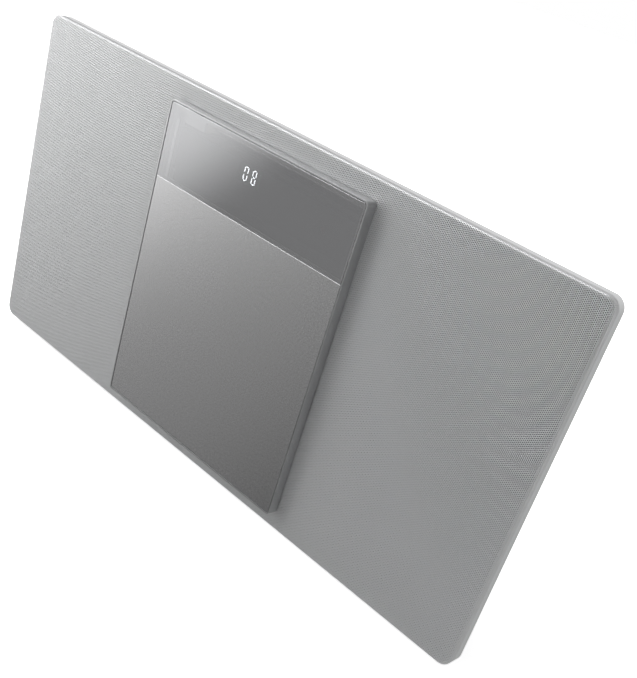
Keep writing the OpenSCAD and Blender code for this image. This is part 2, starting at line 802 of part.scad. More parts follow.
// Small gear on the rack side, big wheel behind it and a stub shaft into the plate
module sled_gear() color("ivory") {
    gear_y(sled_gear_x, sled_gear_z, sled_m, sled_small_n, 180, sled_front_y + 0.2, deck_y - 3.5);
    gear_y(sled_gear_x, sled_gear_z, sled_m, sled_wheel_n, 180 / sled_wheel_n, deck_y - 3.1,
           deck_y - 1.5);
    rod_y(sled_gear_x, sled_gear_z, fine_shaft_r, deck_y - 4, deck_y + 1);
}

module pickup_sled() color([0.15, 0.15, 0.16]) {
    rack_x = sled_gear_x - sled_m * sled_small_n / 2;
    difference() {
        union() {
            block(sled_x - 15, sled_x + 15, sled_front_y, sled_back_y, sled_z - sled_half_h,
                  sled_z + sled_half_h);
            // Actuator block that reaches through the slot in the well floor
            block(sled_x - actuator_half_w, sled_x + actuator_half_w, well_floor_y,
                  sled_front_y + 0.2, sled_z - actuator_half_h, sled_z + actuator_half_h);
            // Arm to the rack
            block(sled_x + 14, rack_x - 1.5, sled_front_y, deck_y - 3.8, sled_z - sled_half_h + 2,
                  sled_z + sled_half_h);
            along_y(sled_front_y, deck_y - 3.8) translate([rack_x, sled_gear_z]) rotate(-90)
                rack_outline(sled_m, -sled_travel - 4, 3.9, 1.6);
        }
        rod_y(sled_x, sled_z, 3.8, well_floor_y - 1, sled_front_y);
        for (x = sled_rod_x)
            rod_z(x, sled_rod_y, sled_rod_r + running_gap, sled_z - sled_half_h - 1,
                  sled_z + sled_half_h + 1);
    }
}

module objective_lens() color([0.55, 0.6, 0.75]) {
    rod_y(sled_x, sled_z, 3.4, well_floor_y - 0.6, sled_front_y - 1);
    intersection() {
        translate([sled_x, well_floor_y + 2.4, sled_z]) sphere(r = 4);
        rod_y(sled_x, sled_z, 2.4, well_floor_y - 1.6, well_floor_y);
    }
}

module sled_rods() color("silver") {
    for (x = sled_rod_x)
        rod_z(x, sled_rod_y, sled_rod_r, sled_z - sled_travel - sled_half_h - 3.4,
              sled_z + sled_half_h + 3.4);
}

// ---- Speakers ----

// Ring of revolution about a speaker's axis, from an outline in radius and depth
module speaker_ring(x) {
    translate([x, frame_y, speaker_z]) rotate([-90, 0, 0]) rotate_extrude() children();
}

module speaker_baskets() color([0.2, 0.2, 0.2]) {
    edge = cone_r + 4;
    for (x = [-speaker_x, speaker_x]) difference() {
        speaker_ring(x)
            polygon([[edge - 0.4, -2.2], [flange_r, -2.2], [flange_r, 0], [edge + 0.9, 0],
                     [edge + 0.9, 5], [magnet_r, 22], [13.5, 22], [13.5, 20.5],
                     [magnet_r - 1.5, 20.5], [edge - 1, 5], [edge - 1, -0.9],
                     [edge - 0.4, -0.9]]);
        // Windows between the basket's arms
        for (a = [0:60:300]) translate([x, frame_y + 7, speaker_z]) rotate([0, a, 0])
            translate([12, 0, -7]) cube([40, 12, 14]);
    }
}

module speaker_magnets() color([0.15, 0.15, 0.16]) {
    for (x = [-speaker_x, speaker_x]) difference() {
        rod_y(x, speaker_z, magnet_r - 1, magnet_y, magnet_y + 14);
        speaker_ring(x) translate([8.6, 21]) square([4, 10]);
    }
}

module speaker_surrounds() color([0.08, 0.08, 0.08]) {
    for (x = [-speaker_x, speaker_x]) speaker_ring(x) {
        difference() {
            translate([cone_r + 1.7, -1.5]) circle(1.4);
            translate([cone_r + 1.7, -1.5]) circle(0.8);
            translate([cone_r - 2, -1.5]) square([8, 4]);
        }
        translate([cone_r + 2.5, -1.6]) square([1, 0.7]);
    }
}

// Cone, dust cap and voice coil former
module speaker_cone(x) color([0.25, 0.25, 0.26]) {
    speaker_ring(x) {
        polygon([[cone_r, -1.6], [cone_r - 0.9, -1.6], [10.2, 12], [10.2, 22], [11, 22], [11, 12.6]]);
        polygon([[0, 9.5], [10.6, 12], [10.6, 12.8], [0, 10.3]]);
    }
}

module left_cone() speaker_cone(-speaker_x);
module right_cone() speaker_cone(speaker_x);

// ---- Electronics ----

module main_board() color("darkgreen") {
    block(-84, 84, board_y, board_y + board_t, 18, 186);
    for (s = [[-60, 100], [-30, 120], [20, 90], [50, 130]])
        block(s[0], s[0] + 14, board_y + 1.4, board_y + 4, s[1], s[1] + 14);
}

module heat_sink() color("silver") {
    fin_pitch = 10.9;
    block(sink_x[0], sink_x[1], board_y + board_t, board_y + 3, sink_z[0], sink_z[1]);
    for (i = [0:fin_count - 1]) translate([i * fin_pitch, 0, 0])
        block(sink_x[0], sink_x[0] + fin_t, board_y + 2.5, board_y + 7, sink_z[0], sink_z[1]);
}

module power_board() color("tan") {
    block(-172, -92, board_y - 2, board_y - 2 + board_t, 22, 76);
    // Two reservoir capacitors
    for (z = [38, 56]) rod_y(-104, z, 6, board_y - 20, board_y - 1.9);
}

module transformer() color([0.35, 0.3, 0.2]) {
    block(-172, -124, board_y - 26, board_y - 2, 24, 58);
    block(-164, -132, board_y - 30, board_y - 25.8, 30, 52);
}

module button_board() color("darkgreen") {
    block(-72, 72, button_y - 7, button_y + 7, switch_top - 5.4, switch_top - 3.8);
    for (i = [-3:3]) block(i * button_pitch - 3, i * button_pitch + 3, button_y - 3, button_y + 3,
                           switch_top - switch_h, switch_top);
}

module terminal_plate() color([0.1, 0.1, 0.11]) {
    difference() {
        block(terminal_x[0] + 0.1, terminal_x[1] - 0.1, cabinet_back_y - 1.8, cabinet_back_y,
              terminal_z[0] + 0.1, terminal_z[1] - 0.1);
        rod_y(antenna_x, socket_z, antenna_r + 0.1, cabinet_back_y - 3, cabinet_back_y + 1);
        for (x = jack_x) rod_y(x, socket_z, jack_r + 0.1, cabinet_back_y - 3, cabinet_back_y + 1);
    }
}

module mains_inlet() color([0.1, 0.1, 0.1]) {
    difference() {
        union() {
            block(inlet_x - 10.8, inlet_x + 10.8, board_y + board_t, cabinet_back_y, inlet_z - 6.8,
                  inlet_z + 6.8);
            block(inlet_x - inlet_half_w + 0.1, inlet_x + inlet_half_w - 0.1,
                  cabinet_back_y - 1.8, cabinet_back_y, terminal_z[0] + 0.1, terminal_z[1] - 0.1);
        }
        along_y(cabinet_back_y - 9, cabinet_back_y + 1)
            round_rect(inlet_x - 8.6, inlet_x + 8.6, inlet_z - 4.4, inlet_z + 4.4, 4.3);
    }
    for (x = [-4.3, 4.3]) rod_y(inlet_x + x, inlet_z, 1.2, board_y + 1.8, cabinet_back_y - 1.5);
}

module antenna_socket() color("silver") {
    difference() {
        rod_y(antenna_x, socket_z, antenna_r, board_y + board_t, cabinet_back_y - 0.5);
        rod_y(antenna_x, socket_z, 4.75, cabinet_back_y - 9, cabinet_back_y + 1);
    }
    rod_y(antenna_x, socket_z, 1.2, cabinet_back_y - 9.5, cabinet_back_y - 2);
}

module audio_sockets() color([0.15, 0.15, 0.15]) {
    for (x = jack_x) difference() {
        union() {
            block(x - 5, x + 5, board_y + board_t, cabinet_back_y - 1.8, socket_z - 5,
                  socket_z + 5);
            rod_y(x, socket_z, jack_r, cabinet_back_y - 2, cabinet_back_y);
        }
        rod_y(x, socket_z, 1.8, cabinet_back_y - 9.5, cabinet_back_y + 1);
    }
}

// ---- Buttons ----

// Cap, retaining flange and stem; the flange sits under the cabinet's top wall
module push_button(i) color([0.75, 0.75, 0.77]) {
    x = i * button_pitch;
    translate([0, 0, switch_top + 1]) linear_extrude(button_top - switch_top - 1)
        round_rect(x - button_w / 2, x + button_w / 2, button_y - button_d / 2,
                   button_y + button_d / 2, 1.5);
    block(x - button_w / 2 - 1.2, x + button_w / 2 + 1.2, button_y - button_d / 2 - 1.2,
          button_y + button_d / 2 + 1.2, switch_top + 1.6, switch_top + 3.6);
}

module power_button() push_button(-3);
module source_button() push_button(-2);
module open_button() push_button(-1);
module play_button() push_button(0);
module stop_button() push_button(1);
module volume_down_button() push_button(2);
module volume_up_button() push_button(3);

// ---- Assembly ----

front_grille();
grille_cloth();
front_frame();
disc_chassis();
rear_cabinet();
stand_plate();
foot_pads();
case_screws();
chassis_screws();
stand_screws();
door_frame();
door_panel();
display_window();
door_rack();
door_shoes();
guide_rods();
door_pinion();
pulley_gear();
drive_belt();
door_motor();
motor_pulley();
display_bezel();
display_board();
display_digits();
remote_sensor();
mech_plate();
damper_bushes();
spindle_motor();
turntable();
hub_claw_1();
hub_claw_2();
hub_claw_3();
sled_motor();
sled_pinion();
sled_gear();
pickup_sled();
objective_lens();
sled_rods();
speaker_baskets();
speaker_magnets();
speaker_surrounds();
left_cone();
right_cone();
main_board();
heat_sink();
power_board();
transformer();
button_board();
terminal_plate();
mains_inlet();
antenna_socket();
audio_sockets();
power_button();
source_button();
open_button();
play_button();
stop_button();
volume_down_button();
volume_up_button();
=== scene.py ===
import json
import math

import bmesh
import bpy
import numpy as np
from mathutils import Euler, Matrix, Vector


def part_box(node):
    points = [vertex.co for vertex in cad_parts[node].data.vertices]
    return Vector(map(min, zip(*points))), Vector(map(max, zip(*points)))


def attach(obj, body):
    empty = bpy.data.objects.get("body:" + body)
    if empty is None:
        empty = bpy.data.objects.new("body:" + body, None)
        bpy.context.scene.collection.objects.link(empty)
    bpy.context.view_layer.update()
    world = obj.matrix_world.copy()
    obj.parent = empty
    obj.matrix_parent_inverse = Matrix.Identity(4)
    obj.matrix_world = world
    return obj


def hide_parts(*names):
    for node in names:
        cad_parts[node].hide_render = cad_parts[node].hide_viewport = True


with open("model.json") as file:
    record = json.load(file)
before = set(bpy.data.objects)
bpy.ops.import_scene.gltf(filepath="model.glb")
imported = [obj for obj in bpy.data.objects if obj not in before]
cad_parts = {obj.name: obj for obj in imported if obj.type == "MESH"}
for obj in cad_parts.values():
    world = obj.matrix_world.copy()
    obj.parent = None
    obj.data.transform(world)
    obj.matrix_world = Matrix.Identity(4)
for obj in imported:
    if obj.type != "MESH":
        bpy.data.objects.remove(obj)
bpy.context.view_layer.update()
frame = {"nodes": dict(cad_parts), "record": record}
MM = 0.001

# ---------------------------------------------------------------- camera

# Seen from the front right and above, with the camera rolled so that the slab runs down to the right
CAMERA_AT = Vector((0.3684, -0.4465, 0.3166))
CAMERA_TURN = (61.217, -16.692, 43.387)
CAMERA_LENS = 51.75
CAMERA_SHIFT_Y = 0.17

camera_data = bpy.data.cameras.new("camera")
camera_data.lens = CAMERA_LENS
camera_data.sensor_width = 36
camera_data.shift_y = CAMERA_SHIFT_Y
camera_data.clip_start = 0.01
camera = bpy.data.objects.new("camera", camera_data)
camera.location = CAMERA_AT
camera.rotation_euler = Euler([math.radians(a) for a in CAMERA_TURN], "XYZ")
bpy.context.scene.collection.objects.link(camera)
bpy.context.scene.camera = camera


# ---------------------------------------------------------------- materials

class Recipe:
    """A Principled material with procedural colour, roughness and bump worked from object space."""

    def __init__(self, name, color, metallic=0.0, roughness=0.5, **sockets):
        self.mat = bpy.data.materials.new(name)
        self.mat.use_nodes = True
        self.nodes = self.mat.node_tree.nodes
        self.links = self.mat.node_tree.links
        self.shader = self.nodes["Principled BSDF"]
        self.color = color
        self.roughness = roughness
        self.set("Base Color", (*color, 1))
        self.set("Metallic", metallic)
        self.set("Roughness", roughness)
        for key, value in sockets.items():
            self.set(key.replace("_", " "), value)
        self.coords = self.nodes.new("ShaderNodeTexCoord")

    def set(self, key, value):
        self.shader.inputs[key].default_value = value

    def noise(self, scale, detail=4.0, stretch=(1, 1, 1)):
        """Noise value in object space, with feature size set by scale in 1/metre."""
        mapping = self.nodes.new("ShaderNodeMapping")
        mapping.inputs["Scale"].default_value = stretch
        noise = self.nodes.new("ShaderNodeTexNoise")
        noise.inputs["Scale"].default_value = scale
        noise.inputs["Detail"].default_value = detail
        self.links.new(self.coords.outputs["Object"], mapping.inputs["Vector"])
        self.links.new(mapping.outputs["Vector"], noise.inputs["Vector"])
        return noise.outputs["Fac"]

    def spread(self, value, low, high):
        """Maps a 0.3 to 0.7 noise value onto low to high, with soft ends."""
        ramp = self.nodes.new("ShaderNodeMapRange")
        ramp.interpolation_type = "SMOOTHSTEP"
        ramp.inputs["From Min"].default_value = 0.3
        ramp.inputs["From Max"].default_value = 0.7
        ramp.inputs["To Min"].default_value = low
        ramp.inputs["To Max"].default_value = high
        self.links.new(value, ramp.inputs["Value"])
        return ramp.outputs["Result"]

    def vary_roughness(self, value, amount):
        result = self.spread(value, self.roughness - amount, self.roughness + amount)
        self.links.new(result, self.shader.inputs["Roughness"])
        return self

    def vary_color(self, value, amount):
        mix = self.nodes.new("ShaderNodeMix")
        mix.data_type = "RGBA"
        mix.inputs["A"].default_value = (*[c * (1 - amount) for c in self.color], 1)
        mix.inputs["B"].default_value = (*[min(1, c * (1 + amount)) for c in self.color], 1)
        self.links.new(self.spread(value, 0, 1), mix.inputs["Factor"])
        self.links.new(mix.outputs["Result"], self.shader.inputs["Base Color"])
        return self

    def bump(self, value, height_mm, strength=1.0):
        bump = self.nodes.new("ShaderNodeBump")
        bump.inputs["Distance"].default_value = height_mm * MM
        bump.inputs["Strength"].default_value = strength
        self.links.new(value, bump.inputs["Height"])
        self.links.new(bump.outputs["Normal"], self.shader.inputs["Normal"])
        return self


def satin_metal(name, color, roughness, grain=2500, metallic=1.0, grain_depth=0.003, drift=1.0):
    made = Recipe(name, color, metallic, roughness)
    fine = made.noise(grain, 2)
    made.vary_roughness(fine, 0.012)
    if drift:
        made.vary_color(made.noise(15, 2), 0.008 * drift)
    return made.bump(fine, grain_depth, 0.3)


def brushed_metal(name, color, roughness, along=(60, 4000, 4000)):
    made = Recipe(name, color, 1.0, roughness)
    streaks = made.noise(1.0, 3, along)
    made.vary_roughness(streaks, 0.02)
    made.vary_color(streaks, 0.015)
    return made.bump(streaks, 0.001, 0.3)


def moulding(name, color, roughness, grain_mm=0.02, scale=1800):
    made = Recipe(name, color, 0.0, roughness)
    grain = made.noise(scale, 3)
    made.vary_roughness(made.noise(60, 4), 0.02)
    made.vary_color(made.noise(25, 3), 0.02)
    return made.bump(grain, grain_mm, 0.6)


PUNCHED = satin_metal("punched_silver", (0.67, 0.675, 0.68), 0.42, metallic=0.6).mat
# The hole walls' dark colour is painted shade: a darker copy of the punched metal that stands in for the
# little light reaching into the tiny holes.
PUNCHED_HOLE_SHADE = satin_metal("punched_hole_shade", (0.16, 0.16, 0.165), 0.5, metallic=0.6).mat
FRAME_PAINT = satin_metal("frame_silver", (0.73, 0.735, 0.74), 0.42).mat
DOOR_METAL = brushed_metal("door_silver", (0.55, 0.555, 0.56), 0.30).mat
MIRROR = satin_metal("mirror_plate", (0.76, 0.76, 0.765), 0.27, 6000, grain_depth=0.0002, drift=0.0).mat
DARK_PLASTIC = moulding("plastic_dark", (0.055, 0.055, 0.058), 0.48).mat
BLACK_PLASTIC = moulding("plastic_black", (0.018, 0.018, 0.019), 0.42).mat
IVORY = moulding("plastic_ivory", (0.62, 0.59, 0.50), 0.36, 0.004).mat
RUBBER = moulding("rubber_black", (0.014, 0.014, 0.014), 0.75, 0.03, 3000).mat
BRIGHT_STEEL = satin_metal("steel_bright", (0.62, 0.62, 0.63), 0.2).mat
ZINC = satin_metal("steel_zinc", (0.52, 0.53, 0.55), 0.34, 900).mat
STAND_PAINT = moulding("stand_paint", (0.42, 0.42, 0.43), 0.4, 0.012, 1500).mat
MAGNET = moulding("magnet_grey", (0.05, 0.05, 0.055), 0.6, 0.03, 800).mat
BOARD = moulding("board_green", (0.02, 0.12, 0.05), 0.32, 0.01, 900).mat
PAPER = moulding("cone_paper", (0.035, 0.035, 0.038), 0.8, 0.05, 1200).mat
SINK = brushed_metal("sink_aluminium", (0.62, 0.62, 0.63), 0.35).mat
CORE = moulding("core_steel", (0.16, 0.13, 0.09), 0.4, 0.03, 700).mat
BUTTON = satin_metal("button_silver", (0.60, 0.605, 0.61), 0.34).mat


def cloth_material():
    made = Recipe("cloth_black", (0.012, 0.012, 0.012), 0.0, 0.9)
    warp = made.noise(1.0, 1, (5000, 5000, 700))
    return made.bump(warp, 0.05, 0.8).mat


def window_material():
    """Dark half-mirror: mostly reflection, with a part that lets the lit digits through."""
    made = Recipe("window_glass", (0.88, 0.885, 0.90), 1.0, 0.07, Alpha=0.72)
    return made.mat


def window_back_material():
    """Back of the window: plain glass that lets nearly everything pass, so the digits show once."""
    return Recipe("window_back", (0.05, 0.05, 0.05), 0.0, 0.1, Alpha=0.1).mat


def lit_material():
    made = Recipe("digit_light", (0.95, 0.97, 1.0), 0.0, 0.4)
    made.set("Emission Color", (0.92, 0.96, 1.0, 1))
    made.set("Emission Strength", 4.0)
    made.vary_color(made.noise(900, 2), 0.04)
    return made.mat


def lens_material():
    made = Recipe("lens_glass", (0.30, 0.34, 0.55), 0.6, 0.06)
    made.set("Coat Weight", 1.0)
    made.vary_color(made.noise(600, 2), 0.15)
    return made.mat


def sensor_material():
    made = Recipe("sensor_red", (0.03, 0.004, 0.008), 0.0, 0.12)
    made.set("Coat Weight", 1.0)
    made.vary_color(made.noise(500, 2), 0.2)
    return made.mat


CLOTH = cloth_material()
WINDOW = window_material()
WINDOW_BACK = window_back_material()
LIT = lit_material()
LENS = lens_material()
SENSOR = sensor_material()

MATERIALS = {
    "punched_silver": PUNCHED, "frame_silver": FRAME_PAINT, "door_silver": DOOR_METAL,
    "mirror_plate": MIRROR, "window_glass": WINDOW, "digit_light": LIT, "cloth_black": CLOTH,
    "plastic_black": BLACK_PLASTIC, "plastic_dark": DARK_PLASTIC, "plastic_ivory": IVORY,
    "rubber_black": RUBBER, "steel_bright": BRIGHT_STEEL, "steel_zinc": ZINC,
    "stand_paint": STAND_PAINT, "magnet_grey": MAGNET, "board_green": BOARD,
    "cone_paper": PAPER, "sink_aluminium": SINK, "core_steel": CORE, "button_silver": BUTTON,
    "lens_glass": LENS, "sensor_red": SENSOR,
}
SLOT_OF = {row["node"]: row["material_slot"] for row in frame["record"]["subparts"]}
BODY_OF = {n: b for b, names in frame["record"]["behaviour"]["bodies"].items() for n in names}


def paint(piece, material):
    piece.data.materials.clear()
    piece.data.materials.append(material)


# Every CAD node takes its slot's material
for node_name, node_object in frame["nodes"].items():
    for material_slot in node_object.material_slots:
        material_slot.material = MATERIALS[SLOT_OF[node_name]]
    if not node_object.material_slots:
        node_object.data.materials.append(MATERIALS[SLOT_OF[node_name]])


# ---------------------------------------------------------------- mesh helpers

SAME_POINT = 0.002 * MM             # corners nearer than this are one corner
FLAT_EDGE = math.radians(1.0)       # an edge flatter than this isn't one
SHARP_EDGE = math.radians(28)       # an edge sharper than this is rounded


def new_piece(name, mesh, body, slot):
    piece = bpy.data.objects.new(name, mesh)
    bpy.context.scene.collection.objects.link(piece)
    paint(piece, MATERIALS[slot])
    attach(piece, body)
    return piece


def mesh_from(name, verts, loops, sizes):
    """Mesh from flat arrays: positions, the corners of all faces, and each face's corner count."""
    mesh = bpy.data.meshes.new(name)
    mesh.vertices.add(len(verts))
    mesh.vertices.foreach_set("co", np.asarray(verts, np.float32).ravel())
    mesh.loops.add(len(loops))
    mesh.loops.foreach_set("vertex_index", np.asarray(loops, np.int32))
    mesh.polygons.add(len(sizes))
    starts = np.concatenate([[0], np.cumsum(sizes)[:-1]])
    mesh.polygons.foreach_set("loop_start", starts.astype(np.int32))
    mesh.update(calc_edges=True)
    mesh.validate()
    return mesh


def softened(node, width_mm, segments=2):
    """A new piece with the CAD node's shape and its sharp edges rounded; the node itself is hidden."""
    source = frame["nodes"][node]
    bm = bmesh.new()
    bm.from_mesh(source.data)
    bmesh.ops.remove_doubles(bm, verts=bm.verts, dist=SAME_POINT)
    bmesh.ops.dissolve_limit(bm, angle_limit=FLAT_EDGE, verts=bm.verts, edges=bm.edges)
    sharp = [e for e in bm.edges
             if len(e.link_faces) == 2 and e.calc_face_angle(0) > SHARP_EDGE]
    bmesh.ops.bevel(bm, geom=sharp, offset=width_mm * MM, segments=segments, profile=0.5,
                    affect="EDGES", clamp_overlap=True)
    name = node + "_shell"
    mesh = bpy.data.meshes.new(name)
    bm.to_mesh(mesh)
    bm.free()
    mesh.shade_smooth()
    piece = new_piece(name, mesh, BODY_OF[node], SLOT_OF[node])
    crisp = piece.modifiers.new("even_normals", "WEIGHTED_NORMAL")
    crisp.keep_sharp = True
    crisp.weight = 100
    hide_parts(node)
    return piece


# ---------------------------------------------------------------- punched grille

GRILLE_LOW, GRILLE_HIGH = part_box("front_grille")
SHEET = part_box("grille_cloth")[0].y - GRILLE_LOW.y
BEND = 1.0 * MM         # outer radius of the folded edge
CORNER = 7.0 * MM       # corner radius of the slab
COLUMN = 0.910 * MM     # between columns of holes
STEP = 1.088 * MM       # between holes in a column; every second column is half a step lower
HOLE = 0.44 * MM        # from a hole's middle to its corners
SIDES = 6
STRIPS = 12             # the sheet is cut into upright strips, so that no mesh is too heavy
OPENING_INSET = 1.4 * MM    # how far the opening behind the door stays inside its sides
OPENING_SILL = 3.0 * MM     # and inside its top and bottom


class PunchedSheet:
    """The grille: a flat blank full of staggered holes, folded back over all four edges.

    The blank is a rectangle grown by a margin: the core rectangle holds the centres of the four corner
    arcs, and a point's reach is its distance outside that core.
    """

    def __init__(self):
        self.middle = np.array([0.0, (GRILLE_LOW.z + GRILLE_HIGH.z) / 2])
        half = np.array([GRILLE_HIGH.x, (GRILLE_HIGH.z - GRILLE_LOW.z) / 2])
        self.core = half - CORNER
        self.flat_reach = CORNER - BEND
        depth = GRILLE_HIGH.y - GRILLE_LOW.y
        self.end_reach = self.flat_reach + BEND * math.pi / 2 + depth - BEND
        door_low, door_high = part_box("door_frame")
        open_x = (door_high.x - door_low.x) / 2 - OPENING_INSET
        self.open_low = np.array([-open_x, door_low.z + OPENING_SILL])
        self.open_high = np.array([open_x, door_high.z - OPENING_SILL])

    def reach(self, points):
        """Nearest core point, outward direction and distance outside the core."""
        away = points - self.middle
        over = np.maximum(np.abs(away) - self.core, 0)
        distance = np.hypot(over[..., 0], over[..., 1])
        outward = np.sign(away) * over / np.maximum(distance, 1e-12)[..., None]
        return points - np.sign(away) * over, outward, distance

    def fold(self, points, depth=0.0):
        """Blank positions (x, z), at a depth below the sheet's face, as places in space."""
        nearest, outward, distance = self.reach(points)
        past = np.maximum(distance - self.flat_reach, 0)
        turn = np.minimum(past / BEND, math.pi / 2)
        folded = np.minimum(distance, self.flat_reach) + (BEND - depth) * np.sin(turn)
        place = nearest + outward * folded[..., None]
        back = BEND - (BEND - depth) * np.cos(turn) + np.maximum(past - BEND * math.pi / 2, 0)
        return np.stack([place[..., 0], GRILLE_LOW.y + back, place[..., 1]], -1)

    def trim(self, points):
        """Moves points that lie past the hem or inside the opening onto that border."""
        nearest, outward, distance = self.reach(points)
        past = distance > self.end_reach
        points = np.where(past[..., None], nearest + outward * self.end_reach, points)
        gaps = np.stack([points[..., 0] - self.open_low[0], self.open_high[0] - points[..., 0],
                         points[..., 1] - self.open_low[1], self.open_high[1] - points[..., 1]], -1)
        inside = gaps.min(-1) > 0
        side = gaps.argmin(-1)
        for k, (axis, limit) in enumerate(((0, self.open_low[0]), (0, self.open_high[0]),
                                           (1, self.open_low[1]), (1, self.open_high[1]))):
            points[..., axis] = np.where(inside & (side == k), limit, points[..., axis])
        return points, past | inside

    def cells(self):
        """Corners of every cell, six each, and the middles of the cells."""
        width, height = 2 * COLUMN, STEP
        tip = (width ** 2 + height ** 2) / (4 * width)
        shoulder = COLUMN - tip
        corners = np.array([(tip, 0), (shoulder, height / 2), (-shoulder, height / 2), (-tip, 0),
                            (-shoulder, -height / 2), (shoulder, -height / 2)])
        columns = int((self.core[0] + self.end_reach) / COLUMN) + 2
        rows = int((self.core[1] + self.end_reach) / STEP) + 2
        i, j = np.meshgrid(np.arange(-columns, columns + 1), np.arange(-rows, rows + 1))
        middles = np.stack([i * COLUMN, (j + 0.5 * (i % 2)) * STEP], -1).reshape(-1, 2) + self.middle
        return middles[:, None, :] + corners, middles

    def build(self):
        corners, middles = self.cells()
        corners, moved = self.trim(corners)
        moved_count = moved.sum(1)
        edges = np.roll(corners, -1, 1)
        areas = np.abs((corners[..., 0] * edges[..., 1] - edges[..., 0] * corners[..., 1]).sum(1)) / 2
        whole = moved_count == 0
        border = (moved_count > 0) & (moved_count < SIDES) & (areas > 1e-9)
        limits = np.quantile(middles[whole, 0], np.linspace(0, 1, STRIPS + 1))
        limits[0], limits[-1] = -1.0, 1.0
        for k in range(STRIPS):
            mine = (middles[:, 0] >= limits[k]) & (middles[:, 0] < limits[k + 1])
            name = f"grille_sheet_{k + 1:02d}"
            mesh = self.strip(name, corners[mine & whole], middles[mine & whole],
                              corners[mine & border])
            piece = new_piece(name, mesh, BODY_OF["front_grille"], SLOT_OF["front_grille"])
            piece.data.materials.append(PUNCHED_HOLE_SHADE)
            if k == 0:
                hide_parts("front_grille")
        self.build_opening_edge()

    def strip(self, name, corners, middles, border):
        """Webs round the holes, the walls of the holes in a dark colour that is painted shade, and plain
        cells along the borders.
        """
        turns = np.arange(SIDES) * 2 * math.pi / SIDES
        ring = middles[:, None, :] + HOLE * np.stack([np.cos(turns), np.sin(turns)], 1)
        outline = np.concatenate([corners.reshape(-1, 2), border.reshape(-1, 2)])
        keys = np.round((outline + 1.0) * 1e7).astype(np.int64)
        _, first, shared = np.unique(keys[:, 0] * 2 ** 32 + keys[:, 1], return_index=True,
                                     return_inverse=True)
        verts = np.concatenate([self.fold(outline[first]), self.fold(ring).reshape(-1, 3),
                                self.fold(ring, SHEET).reshape(-1, 3)])
        count = len(middles)
        outer = shared[:count * SIDES].reshape(count, SIDES)
        rim = len(first) + np.arange(count * SIDES).reshape(count, SIDES)
        floor = rim + count * SIDES
        after = lambda a: np.roll(a, -1, 1)
        webs = np.stack([outer, after(outer), after(rim), rim], -1).reshape(-1, 4)
        walls = np.stack([rim, after(rim), after(floor), floor], -1).reshape(-1, 4)
        plain = shared[count * SIDES:].reshape(-1, SIDES)
        loops = np.concatenate([webs.ravel(), walls.ravel(), plain.ravel()])
        sizes = np.concatenate([np.full(len(webs) + len(walls), 4), np.full(len(plain), SIDES)])
        mesh = mesh_from(name, verts, loops, sizes)
        # Hole walls take the second material, whose dark colour is painted shade for the little light
        # inside the holes.
        hole_shade_index = np.zeros(len(sizes), np.int32)
        hole_shade_index[len(webs):len(webs) + len(walls)] = 1
        mesh.polygons.foreach_set("material_index", hole_shade_index)
        mesh.shade_smooth()
        mesh.set_sharp_from_angle(angle=math.radians(40))
        return mesh

    def build_opening_edge(self):
        (x0, z0), (x1, z1) = self.open_low, self.open_high
        ring = [(x0, z0), (x1, z0), (x1, z1), (x0, z1)]
        y0, y1 = GRILLE_LOW.y, GRILLE_LOW.y + SHEET
        verts = [(x, y, z) for y in (y0, y1) for x, z in ring]
        faces = [(k, k + 4, (k + 1) % 4 + 4, (k + 1) % 4) for k in range(4)]
        mesh = bpy.data.meshes.new("grille_opening_edge")
        mesh.from_pydata(verts, [], faces)
        new_piece("grille_opening_edge", mesh, BODY_OF["front_grille"], SLOT_OF["front_grille"])


PunchedSheet().build()

# ---------------------------------------------------------------- dark strip round the door plate, painted shade in the gap

DOOR_LOW_R = 1.8 * MM       # corner radii of the door's rim
DOOR_TOP_R = 2.8 * MM
GAP_SHADE_OUTER = 0.5 * MM       # the strip's edges, in from the rim
GAP_SHADE_INNER = 1.7 * MM
GAP_SHADE_SINK = 0.45 * MM       # how far behind the rim's front it starts
GAP_SHADE_DEPTH = 1.2 * MM


def rounded_outline(low, high, inset, r_low, r_top, steps=8):
    """Points (x, z) round an upright rectangle with its own radii at the bottom and the top."""
    x0, x1 = low.x + inset, high.x - inset
    z0, z1 = low.z + inset, high.z - inset
    corners = ((x1 - r_low, z0 + r_low, r_low, -90), (x1 - r_top, z1 - r_top, r_top, 0),
               (x0 + r_top, z1 - r_top, r_top, 90), (x0 + r_low, z0 + r_low, r_low, 180))
    return [(cx + r * math.cos(math.radians(start + 90 * k / steps)),
             cz + r * math.sin(math.radians(start + 90 * k / steps)))
            for cx, cz, r, start in corners for k in range(steps + 1)]


def build_plate_gap_shade():
    """Dark strip in the gap between the door's rim and its front plate; it is painted shade for the
    shade that falls in the gap.
    """
    low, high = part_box("door_frame")
    front, back = low.y + GAP_SHADE_SINK, low.y + GAP_SHADE_SINK + GAP_SHADE_DEPTH
    rings = [rounded_outline(low, high, inset, DOOR_LOW_R - inset, DOOR_TOP_R - inset)
             for inset in (GAP_SHADE_OUTER, GAP_SHADE_INNER)]
    count = len(rings[0])
    verts = [(x, y, z) for y in (front, back) for ring in rings for x, z in ring]
    faces = []
    for k in range(count):
        after = (k + 1) % count
        for a, b in ((0, 1), (3, 2), (1, 3), (2, 0)):
            faces.append((a * count + k, a * count + after, b * count + after, b * count + k))
    mesh = bpy.data.meshes.new("plate_gap_shade")
    mesh.from_pydata(verts, [], faces)
    # The dark strip is painted shade: it stands where the real gap shows only shade.
    new_piece("plate_gap_shade", mesh, BODY_OF["door_frame"], "plastic_dark")


build_plate_gap_shade()

# ---------------------------------------------------------------- softened covers

